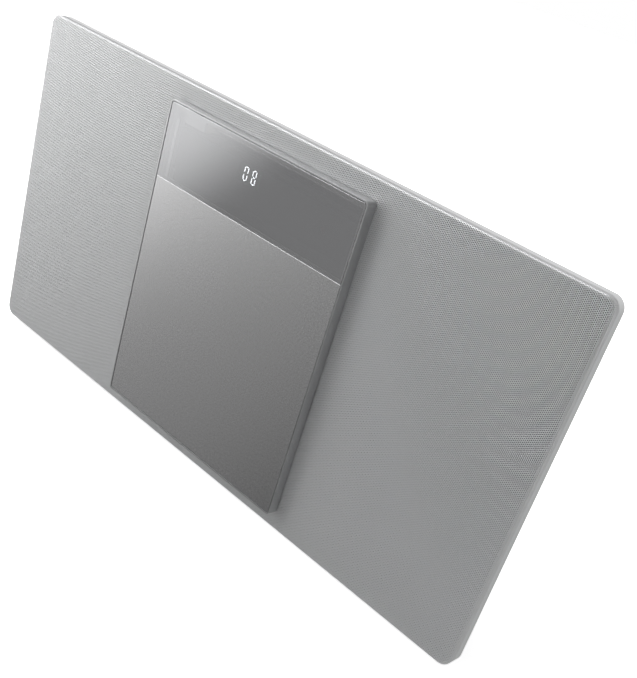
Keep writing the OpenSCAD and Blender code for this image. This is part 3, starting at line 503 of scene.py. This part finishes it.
# Width of each cover's rounding, in mm
ROUNDING = {
    "front_frame": 0.25, "door_frame": 0.35, "door_panel": 0.12, "display_window": 0.12,
    "rear_cabinet": 0.3, "stand_plate": 0.5, "display_bezel": 0.2, "disc_chassis": 0.2,
    "terminal_plate": 0.2, "mains_inlet": 0.15, "pickup_sled": 0.2,
}
COVERS = {node: softened(node, width) for node, width in ROUNDING.items()}

COVERS["display_window"].data.materials.append(WINDOW_BACK)
for window_face in COVERS["display_window"].data.polygons:
    if window_face.normal.y > 0.9:
        window_face.material_index = 1

BUTTONS = [n for n in frame["nodes"] if n.endswith("_button")]
for button in BUTTONS:
    softened(button, 0.35, 3)


# ---------------------------------------------------------------- lit digits

def build_digits():
    """The digits' bars with opaque sides, so that only their front faces glow."""
    source = frame["nodes"]["display_digits"]
    mesh = source.data.copy()
    mesh.materials.clear()
    mesh.materials.append(LIT)
    mesh.materials.append(BLACK_PLASTIC)
    for face in mesh.polygons:
        face.material_index = 0 if face.normal.y < -0.9 else 1
    piece = bpy.data.objects.new("digit_bars", mesh)
    bpy.context.scene.collection.objects.link(piece)
    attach(piece, BODY_OF["display_digits"])
    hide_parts("display_digits")


build_digits()

# ---------------------------------------------------------------- button symbols

SYMBOL = 2.6 * MM           # height of a symbol
STROKE = 0.45 * MM          # width of its lines
SYMBOL_RISE = 0.05 * MM     # print thickness above the cap


def bar(x0, x1, y0, y1):
    return [(x0, y0), (x1, y0), (x1, y1), (x0, y1)]


def arc_band(radius, width, start, end, steps=20):
    """Ring segment as a chain of four-cornered pieces, from start to end in degrees."""
    angles = [math.radians(start + (end - start) * k / steps) for k in range(steps + 1)]
    ring = [[(r * math.cos(a), r * math.sin(a)) for a in angles]
            for r in (radius - width / 2, radius + width / 2)]
    return [[ring[0][k], ring[1][k], ring[1][k + 1], ring[0][k + 1]] for k in range(steps)]


def symbol_shapes(button):
    """Outlines in the plane of the cap for the button's generic symbol."""
    h, t = SYMBOL / 2, STROKE / 2
    wedge = [(-h * 0.8, -h), (h * 0.8, 0), (-h * 0.8, h)]
    cross_bar, upright = bar(-h, h, -t, t), bar(-t, t, -h, h)
    return {
        "power_button": [*arc_band(h, 2 * t, 125, 415), bar(-t, t, 0, h * 1.25)],
        "source_button": [bar(-h * 1.4, 0, -t, t), [(0, -h * 0.6), (h * 0.8, 0), (0, h * 0.6)],
                          bar(h, h + 2 * t, -h, h)],
        "open_button": [[(-h, -h * 0.2), (h, -h * 0.2), (0, h)], bar(-h, h, -h, -h + 2 * t)],
        "play_button": [wedge, bar(h, h + 2 * t, -h, h), bar(h * 1.6, h * 1.6 + 2 * t, -h, h)],
        "stop_button": [bar(-h * 0.8, h * 0.8, -h * 0.8, h * 0.8)],
        "volume_down_button": [cross_bar],
        "volume_up_button": [cross_bar, upright],
    }[button]


def prisms(name, outlines, to_space, body, slot):
    """One piece made of a thin prism for each outline; to_space places (u, v, height)."""
    bm = bmesh.new()
    for outline in outlines:
        low = [bm.verts.new(to_space(u, v, 0)) for u, v in outline]
        high = [bm.verts.new(to_space(u, v, 1)) for u, v in outline]
        bm.faces.new(high)
        bm.faces.new(low[::-1])
        for k in range(len(low)):
            after = (k + 1) % len(low)
            bm.faces.new((low[k], low[after], high[after], high[k]))
    bmesh.ops.recalc_face_normals(bm, faces=bm.faces)
    mesh = bpy.data.meshes.new(name)
    bm.to_mesh(mesh)
    bm.free()
    return new_piece(name, mesh, body, slot)


for button in BUTTONS:
    cap_low, cap_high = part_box(button)
    middle_x, middle_y = (cap_low.x + cap_high.x) / 2, (cap_low.y + cap_high.y) / 2
    prisms(button.replace("button", "symbol"), symbol_shapes(button),
           lambda u, v, up: (middle_x + u, middle_y + v, cap_high.z + (2 * up - 1) * SYMBOL_RISE),
           BODY_OF[button], "plastic_dark")


# ---------------------------------------------------------------- turned details

BEAD_RISE = 0.35 * MM       # height of a ring above its face
BEAD_SINK = 0.3 * MM        # and how far it reaches into it
PLATTER_RING_R = 12.3 * MM
PLATTER_RING_HALF = 1.7 * MM
WELL_RINGS = (24 * MM, 57 * MM)
WELL_RING_HALF = 0.8 * MM
HUB_RISE = 3.8 * MM         # from the turntable's front to the platter
LENS_RISE = 1.6 * MM        # from the lens's front to the floor of the well
SLED_CLEAR = 10.8 * MM      # half of the opening that the rings leave for the sled


def turned(name, outline, at, body, slot, gap=0.0, steps=72):
    """Ring facing the front, turned from an outline of (radius, height), with a gap at the bottom."""
    along, across, other = Vector((0, -1, 0)), Vector((1, 0, 0)), Vector((0, 0, 1))
    rings = steps + 1 if gap else steps
    sweep = 2 * (math.pi - gap) / steps
    verts = [Vector(at) + along * h + (across * math.cos(a) + other * math.sin(a)) * r
             for a in (gap - math.pi / 2 + sweep * k for k in range(rings)) for r, h in outline]
    n = len(outline)
    faces = [(k * n + i, k * n + (i + 1) % n, (k + 1) % rings * n + (i + 1) % n,
              (k + 1) % rings * n + i) for k in range(steps) for i in range(n)]
    if gap:
        faces += [tuple(range(n))[::-1], tuple(range(steps * n, rings * n))]
    mesh = bpy.data.meshes.new(name)
    mesh.from_pydata(verts, [], faces)
    mesh.shade_smooth()
    mesh.set_sharp_from_angle(angle=math.radians(35))
    return new_piece(name, mesh, body, slot)


def round_bead(radius, half_width, steps=6):
    """Outline of a low round-topped ring, sunk a little into the face it sits on."""
    arc = [(radius - half_width * math.cos(math.pi * k / steps),
            BEAD_RISE * math.sin(math.pi * k / steps)) for k in range(steps + 1)]
    return [(radius - half_width, -BEAD_SINK), *arc, (radius + half_width, -BEAD_SINK)]


def build_disc_details():
    """Soft ring on the platter and moulded rings in the disc well."""
    low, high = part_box("turntable")
    axis_at = (low + high) / 2
    turned("platter_ring", round_bead(PLATTER_RING_R, PLATTER_RING_HALF),
           (axis_at.x, low.y + HUB_RISE, axis_at.z), BODY_OF["turntable"], "rubber_black")
    floor_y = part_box("objective_lens")[0].y + LENS_RISE
    for k, radius in enumerate(WELL_RINGS):
        turned(f"well_ring_{k + 1}", round_bead(radius, WELL_RING_HALF),
               (axis_at.x, floor_y, axis_at.z), BODY_OF["disc_chassis"], SLOT_OF["disc_chassis"],
               gap=math.asin(SLED_CLEAR / radius))


build_disc_details()


# ---------------------------------------------------------------- stage and light

FLOOR_SIZE = 40
FLOOR_GLOW = 0.6


def plane(name, size):
    """Square lying on the ground, centred on the origin."""
    mesh = bpy.data.meshes.new(name)
    s = size / 2
    mesh.from_pydata([(-s, -s, 0), (s, -s, 0), (s, s, 0), (-s, s, 0)], [], [(0, 1, 2, 3)])
    piece = bpy.data.objects.new(name, mesh)
    bpy.context.scene.collection.objects.link(piece)
    return piece


def build_floor():
    """White table top that glows a little, so that it stays pale under the object."""
    floor = plane("floor", FLOOR_SIZE)
    made = Recipe("floor_paint", (0.93, 0.93, 0.93), 0.0, 0.9)
    made.vary_color(made.noise(0.5, 2), 0.01)
    made.set("Emission Color", (1, 1, 1, 1))
    made.set("Emission Strength", FLOOR_GLOW)
    paint(floor, made.mat)
    floor.visible_glossy = False


def area_light(name, at, aim, size, power):
    """Soft lamp that lights the matt surfaces and leaves no reflection of itself."""
    light = bpy.data.lights.new(name, "AREA")
    light.size = size
    light.energy = power
    lamp = bpy.data.objects.new(name, light)
    lamp.location = at
    lamp.rotation_euler = (Vector(aim) - Vector(at)).to_track_quat("-Z", "Y").to_euler()
    lamp.visible_glossy = False
    bpy.context.scene.collection.objects.link(lamp)


# Brightness of the studio against s, the direction's share towards the upper left light: (s, brightness)
STUDIO_LEFT = (-0.893, 0.0, 0.449)
STUDIO = ((-1.0, 0.60), (-0.4, 0.42), (0.16, 0.06), (0.34, 0.245), (0.478, 0.25),
          (0.56, 0.92), (0.62, 1.05), (0.70, 4.4), (1.0, 4.0))
STUDIO_STRENGTH = 5.0
BACK_LEVEL = 0.64       # brightness behind the object, level with it
BACK_RISE = 0.35        # how much brighter it is straight overhead
FRONT_ENDS = -0.1       # the studio in front reaches back to this share of +Y,
BACK_STARTS = 0.3       # and the plain surround behind begins here

FILL_AT, FILL_AIM = (-0.3, -2.0, 1.2), (0, 0, 0.1)
FILL_SIZE, FILL_POWER = 2.0, 4


def build_world():
    """Soft studio surround with one large bright wall to the upper left; the camera sees white."""
    world = bpy.data.worlds.new("studio")
    bpy.context.scene.world = world
    world.use_nodes = True
    nodes, links = world.node_tree.nodes, world.node_tree.links
    nodes.clear()
    coords = nodes.new("ShaderNodeTexCoord")
    toward = nodes.new("ShaderNodeVectorMath")
    toward.operation = "DOT_PRODUCT"
    toward.inputs[1].default_value = STUDIO_LEFT
    share = nodes.new("ShaderNodeMapRange")
    share.inputs["From Min"].default_value = -1.0
    ramp = nodes.new("ShaderNodeValToRGB")
    ramp.color_ramp.interpolation = "EASE"
    stops = ramp.color_ramp.elements
    while len(stops) < len(STUDIO):
        stops.new(0.5)
    for stop, (s, level) in zip(stops, STUDIO):
        stop.position = (s + 1) / 2
        level /= STUDIO_STRENGTH
        stop.color = (level, level, level, 1)
    axes = nodes.new("ShaderNodeSeparateXYZ")
    rise = nodes.new("ShaderNodeMath")
    rise.operation = "MULTIPLY_ADD"
    rise.inputs[1].default_value = BACK_RISE / STUDIO_STRENGTH
    rise.inputs[2].default_value = BACK_LEVEL / STUDIO_STRENGTH
    behind = nodes.new("ShaderNodeMapRange")
    behind.interpolation_type = "SMOOTHSTEP"
    behind.inputs["From Min"].default_value = FRONT_ENDS
    behind.inputs["From Max"].default_value = BACK_STARTS
    surround = nodes.new("ShaderNodeMix")
    soft = nodes.new("ShaderNodeBackground")
    soft.inputs["Strength"].default_value = STUDIO_STRENGTH
    white = nodes.new("ShaderNodeBackground")
    white.inputs["Color"].default_value = (1, 1, 1, 1)
    path = nodes.new("ShaderNodeLightPath")
    mix = nodes.new("ShaderNodeMixShader")
    out = nodes.new("ShaderNodeOutputWorld")
    links.new(coords.outputs["Generated"], toward.inputs[0])
    links.new(toward.outputs["Value"], share.inputs["Value"])
    links.new(share.outputs["Result"], ramp.inputs["Fac"])
    links.new(coords.outputs["Generated"], axes.inputs[0])
    links.new(axes.outputs["Z"], rise.inputs[0])
    links.new(axes.outputs["Y"], behind.inputs["Value"])
    links.new(behind.outputs["Result"], surround.inputs["Factor"])
    links.new(ramp.outputs["Color"], surround.inputs["A"])
    links.new(rise.outputs["Value"], surround.inputs["B"])
    links.new(surround.outputs["Result"], soft.inputs["Color"])
    links.new(path.outputs["Is Camera Ray"], mix.inputs["Fac"])
    links.new(soft.outputs["Background"], mix.inputs[1])
    links.new(white.outputs["Background"], mix.inputs[2])
    links.new(mix.outputs["Shader"], out.inputs["Surface"])


build_floor()
build_world()
area_light("front_fill", FILL_AT, FILL_AIM, FILL_SIZE, FILL_POWER)
bpy.context.scene.view_settings.view_transform = "Standard"
